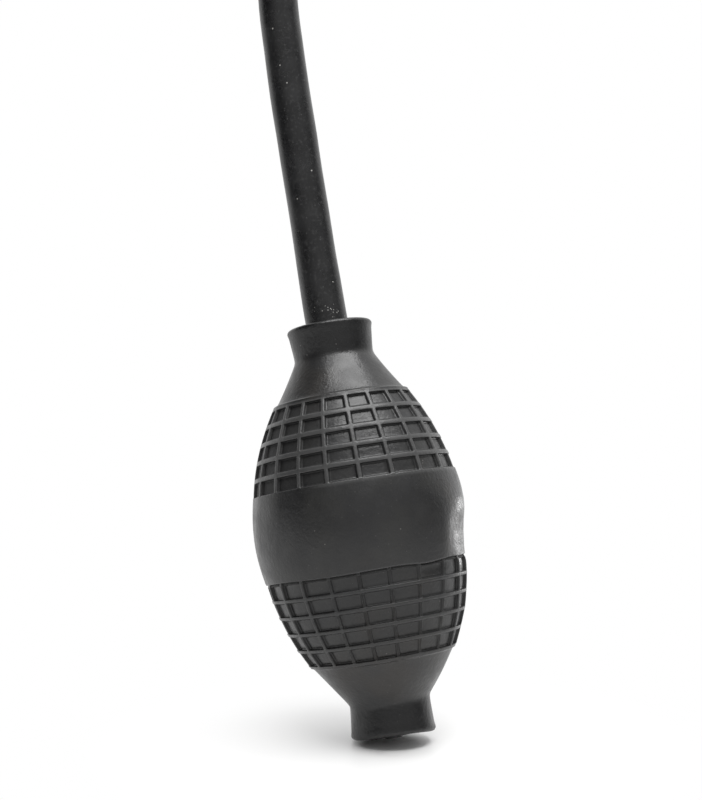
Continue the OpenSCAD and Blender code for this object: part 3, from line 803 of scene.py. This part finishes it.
def bulb_rubber():
    """Matte rubber. The necks and the pockets' corners are darkened as painted shade; the ribs' edges and
    tops and the belly's lips are painted lighter, as highlights, with some wear and dust.
    """
    look = Look("bulb_rubber", (0.014, 0.014, 0.0145), 0.34)
    look.mottle((0.019, 0.0188, 0.0182), 14)
    look.mottle((0.018, 0.0155, 0.0135), 26, 0.55, 0.75)
    wear_and_highlight, raised, wall, neck, shaded = (look.add("ShaderNodeAttribute", attribute_name=layer).outputs["Fac"]
                                        for layer in LAYERS)
    # The necks painted darker: painted shade
    look.mix(neck, (0.005, 0.005, 0.0053))
    # Rib tops and the belly's lips painted lighter: dust, and a painted highlight
    look.mix(look.times(look.ramp(raised, 0.6, 1.0), 0.7), (0.06, 0.06, 0.06))
    # The edges' outer corners painted lighter: a painted highlight, with some wear
    look.mix(look.times(wear_and_highlight, look.ramp(look.noise(3), 0.3, 0.7, 0.0, 0.35)), (0.08, 0.08, 0.08))
    # Painted shade in the pockets' corners, in the crease and in the upper grid's pockets on the left
    look.mix(look.times(shaded, 0.85), (0.002, 0.002, 0.002))
    look.specks((0.09, 0.09, 0.09), 0.6, 0.06, 0.35)
    look.specks((0.2, 0.19, 0.18), 0.8, 0.012, 0.4)
    look.gloss(4, 0.06, more=look.times(wall, 0.4))
    look.relief(look.noise(0.3, 2.0), 0.02)
    look.relief(look.noise(0.9, 3.0), 0.085)
    look.relief(look.noise(3.0, 2.0), 0.012)
    return look.done()


def hose_rubber():
    """Smoother rubber with a fine grain, dust all over it, and more dust just above the bulb."""
    look = Look("hose_rubber", (0.006, 0.006, 0.0065), 0.3)
    look.mottle((0.012, 0.012, 0.0125), 9)
    look.mottle((0.024, 0.024, 0.0245), 0.8, 0.5, 0.75, 2.0)
    look.specks((0.12, 0.12, 0.12), 0.7, 0.08, 0.4)
    look.specks((0.45, 0.44, 0.42), 0.9, 0.02, 0.8)
    far = look.add("ShaderNodeVectorMath", {0: look.place, 1: DUST_AT}, operation="DISTANCE").outputs["Value"]
    look.specks((0.6, 0.59, 0.56), 0.65, look.ramp(far, 4.2 * MM, 1.5 * MM, 0.0, 0.55), 0.6)
    look.gloss(5, 0.05)
    look.relief(look.noise(0.5, 2.0), 0.03)
    look.relief(look.noise(6, 2.0, stretch=(1, 1, 0.2)), 0.05)
    return look.done()


def moulded(name, colour, light, roughness, grain=0.02):
    """Moulded plastic with a fine spark-eroded grain."""
    look = Look(name, colour, roughness)
    look.mottle(light, 6)
    look.specks(tuple(min(6 * c, 1) for c in colour), 1.1, 0.02, 0.5)
    look.gloss(2.5, 0.06)
    look.relief(look.noise(0.28, 2.0), grain)
    look.relief(look.noise(4, 2.0), 0.04)
    return look.done()


def metal(name, colour, tarnish, roughness, stretch):
    """Turned or drawn metal, with marks along one way."""
    look = Look(name, colour, roughness, metallic=1.0)
    look.mottle(tarnish, 3.5)
    look.gloss(1.2, 0.08)
    look.relief(look.noise(0.5, 2.0, stretch=stretch), 0.006)
    return look.done()


def soft(name, colour, light, roughness):
    """Small rubber or silicone part."""
    look = Look(name, colour, roughness)
    look.mottle(light, 2.5)
    look.gloss(1.5, 0.06)
    look.relief(look.noise(0.4, 2.0), 0.012)
    return look.done()


def sintered(name, colour, light, roughness):
    """Porous metal, as filters are made of."""
    look = Look(name, colour, roughness, metallic=1.0)
    look.mottle(light, 0.5, 0.35, 0.6)
    look.relief(look.noise(0.3, 3.0), 0.12)
    return look.done()


def dress_nodes():
    """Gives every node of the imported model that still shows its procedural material, by its slot."""
    made = {
        "valve_plastic": moulded("valve_plastic", (0.030, 0.030, 0.033), (0.042, 0.042, 0.045), 0.42),
        "cap_plastic": moulded("cap_plastic", (0.018, 0.018, 0.020), (0.028, 0.028, 0.030), 0.36),
        "disc_rubber": soft("disc_rubber", (0.34, 0.05, 0.03), (0.42, 0.08, 0.05), 0.45),
        "seal_rubber": soft("seal_rubber", (0.012, 0.012, 0.013), (0.02, 0.02, 0.021), 0.32),
        "spring_steel": metal("spring_steel", (0.55, 0.56, 0.58), (0.42, 0.42, 0.43), 0.28, (1, 1, 1)),
        "nickel": metal("nickel", (0.62, 0.60, 0.56), (0.5, 0.48, 0.44), 0.24, (1, 1, 6)),
        "sleeve_steel": metal("sleeve_steel", (0.50, 0.50, 0.51), (0.4, 0.4, 0.4), 0.3, (1, 1, 8)),
        "coupling_plastic": moulded("coupling_plastic", (0.022, 0.022, 0.024), (0.032, 0.032, 0.034), 0.4),
        "filter_metal": sintered("filter_metal", (0.40, 0.38, 0.34), (0.25, 0.23, 0.2), 0.5),
        "button_plastic": moulded("button_plastic", (0.16, 0.165, 0.17), (0.19, 0.195, 0.2), 0.38),
    }
    slots = {part["node"]: part["material_slot"] for part in frame["record"]["subparts"]}
    for name, node in frame["nodes"].items():
        if slots[name] in made:
            node.data.materials.clear()
            node.data.materials.append(made[slots[name]])
    return made


# The springs

def add_spring(name, place, middle_r, start, end, material):
    """A spring along its place's Z axis, standing on its start and reaching to its end, under its disc or
    plate.
    """
    wire_r = SPRING_WIRE / 2 - SPRING_CLEAR
    steps = SPRING_TURNS * SPRING_STEPS
    turns = (0, SPRING_END_TURN, SPRING_TURNS - SPRING_END_TURN, SPRING_TURNS)
    rises = (0, SPRING_END_RISE, 1 - SPRING_END_RISE, 1)
    verts = []
    for i in range(steps + 1):
        turn = SPRING_TURNS * i / steps
        z = lerp(start + wire_r, end - wire_r, np.interp(turn, turns, rises))
        a = 2 * math.pi * turn
        for k in range(SPRING_SIDES):
            b = 2 * math.pi * k / SPRING_SIDES
            r = middle_r + wire_r * math.cos(b)
            point = Vector((r * math.cos(a), r * math.sin(a), z + wire_r * math.sin(b)))
            verts.append(place @ (point * MM))
    faces = []
    for i in range(steps):
        for k in range(SPRING_SIDES):
            a, n = i * SPRING_SIDES, (k + 1) % SPRING_SIDES
            faces.append((a + k, a + SPRING_SIDES + k, a + SPRING_SIDES + n, a + n))
    faces.append(tuple(range(SPRING_SIDES)))
    faces.append(tuple(steps * SPRING_SIDES + k for k in reversed(range(SPRING_SIDES))))
    spring = new_object(name + "_wire", verts, faces, material)
    spring.data.set_sharp_from_angle(angle=SHARP_FROM)
    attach(spring, "pump")
    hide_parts(name)
    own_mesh(spring)
    return spring


def add_springs(material):
    """Makes the three springs, and gives back the release valve's, which hangs on the hose."""
    for valve, start in (("inlet_valve", CAVITY_TOP), ("exhaust_valve", EXHAUST_CAP_TOP)):
        add_spring(valve + "_spring", BULB, VALVE_SPRING_R, start, start + VALVE_SPRING_H,
                   material)
    release = Matrix.Translation((0, 0, RELEASE_Z * MM)) @ Matrix.Rotation(math.pi / 2, 4, "X")
    return add_spring("release_spring", release, RELEASE_SPRING_R, RELEASE_SPRING_FROM, RELEASE_SPRING_TO,
                      material)


# Floor, surroundings and light

def add_floor():
    """A white table that goes over into the white background away from the object, by a painted glow that
    also lightens the shadow near it.
    """
    look = Look("floor_white", (0.94, 0.94, 0.935), 0.3, specular=0.12)
    look.mottle((0.95, 0.95, 0.945), 300)
    floor_material = look.done()
    tree = floor_material.node_tree
    out = tree.nodes["Material Output"]
    path = look.add("ShaderNodeLightPath")
    seen = look.plus(path.outputs["Is Camera Ray"], path.outputs["Is Glossy Ray"])
    # A painted light: the floor glows white for camera and glossy rays, more away from the bulb
    glow = look.add("ShaderNodeEmission", {"Color": (1, 1, 1, 1), "Strength": 1.0})
    middle = (BULB_FOOT.x, BULB_FOOT.y, 0)
    away = look.add("ShaderNodeVectorMath", {0: look.place, 1: middle}, operation="SUBTRACT").outputs[0]
    flat = look.add("ShaderNodeVectorMath", {0: away, 1: (1, 1, 0)}, operation="MULTIPLY").outputs[0]
    far = look.add("ShaderNodeVectorMath", {0: flat}, operation="LENGTH").outputs["Value"]
    under = look.add("ShaderNodeVectorMath", {0: flat, 1: PATCH_AT}, operation="SUBTRACT").outputs[0]
    near = look.add("ShaderNodeVectorMath", {0: under}, operation="LENGTH").outputs["Value"]
    white = look.ramp(far, FLOOR_SEEN_TO, FLOOR_WHITE_FROM)
    share = look.times(seen, look.times(white, look.ramp(near, PATCH_DARK_TO, PATCH_END)))
    both = look.add("ShaderNodeMixShader", {0: share, 1: look.shader.outputs[0], 2: glow.outputs[0]})
    tree.links.new(both.outputs[0], out.inputs["Surface"])
    corners = ((-1, -1), (1, -1), (1, 1), (-1, 1))
    verts = [(x * FLOOR_REACH, y * FLOOR_REACH, cad_box[0].z) for x, y in corners]
    floor = new_object("floor", verts, [(0, 1, 2, 3)], floor_material)


def direction(azimuth, height):
    """A unit vector, in degrees from the front towards +X and up."""
    a, h = math.radians(azimuth), math.radians(height)
    return Vector((math.sin(a) * math.cos(h), -math.cos(a) * math.cos(h), math.sin(h)))


def add_world():
    """White surroundings behind the object, and a dim room in front with a pale window in it."""
    world = bpy.data.worlds.new("surroundings")
    world.use_nodes = True
    bpy.context.scene.world = world
    tree = world.node_tree
    tree.nodes.clear()

    def add(kind, inputs=None, **settings):
        return add_node(tree, kind, inputs, **settings)

    way = add("ShaderNodeTexCoord").outputs["Generated"]

    def cone(azimuth, height, outer, inner):
        """1 within the inner angle of a direction, and 0 beyond the outer one."""
        inputs = {0: way, 1: direction(azimuth, height)}
        along = add("ShaderNodeVectorMath", inputs, operation="DOT_PRODUCT").outputs["Value"]
        low, high = math.cos(math.radians(outer)), math.cos(math.radians(inner))
        inputs = {"Value": along, "From Min": low, "From Max": high}
        return add("ShaderNodeMapRange", inputs, interpolation_type="SMOOTHSTEP").outputs["Result"]

    def mix(share, a, b):
        return add("ShaderNodeMix", {"Factor": share, "A": a, "B": b}, data_type="RGBA").outputs["Result"]

    window_in_front = cone(18, 35, 78, 20)
    white_at_left = cone(-130, 0, 36, 14)
    white_behind = cone(162, 38, 67, 43)
    room = mix(window_in_front, (0.05, 0.05, 0.052, 1), (0.55, 0.55, 0.55, 1))
    room = mix(white_at_left, room, (1, 1, 1, 1))
    room = mix(white_behind, room, (1, 1, 1, 1))
    camera = add("ShaderNodeLightPath").outputs["Is Camera Ray"]
    back = add("ShaderNodeBackground", {"Color": mix(camera, room, (1, 1, 1, 1)), "Strength": 1.0})
    add("ShaderNodeOutputWorld", {"Surface": back.outputs[0]})


def add_softbox(name, place, aim, size, brightness):
    """A rectangular light; a brightness of 1 is that of a white wall in plain light."""
    data = bpy.data.lights.new(name, "AREA")
    data.shape = "RECTANGLE"
    data.size, data.size_y = size
    data.energy = brightness * math.pi * size[0] * size[1]
    lamp = bpy.data.objects.new(name, data)
    lamp.location = place
    lamp.rotation_euler = (Vector(aim) - Vector(place)).to_track_quat("-Z", "Y").to_euler()
    bpy.context.collection.objects.link(lamp)


def place_towards(azimuth, height, distance):
    """A place seen from the belly in a direction."""
    return BELLY_MIDDLE + distance * direction(azimuth, height)


def add_lights():
    """A wide softbox above the bulb, and a small one low on the right behind it."""
    add_softbox("softbox_top", place_towards(31, 76, 0.64), BELLY_MIDDLE, (0.58, 0.42), 6.2)
    add_softbox("softbox_right", place_towards(142, -3.5, 0.6), BELLY_MIDDLE, (0.14, 0.05), 7.5)


bpy.context.scene.view_settings.view_transform = "Standard"
add_camera()
finishes = dress_nodes()
add_hose(hose_rubber(), add_springs(finishes["spring_steel"]))
add_bulb(bulb_rubber())
add_floor()
add_world()
add_lights()

bpy.context.view_layer.update()
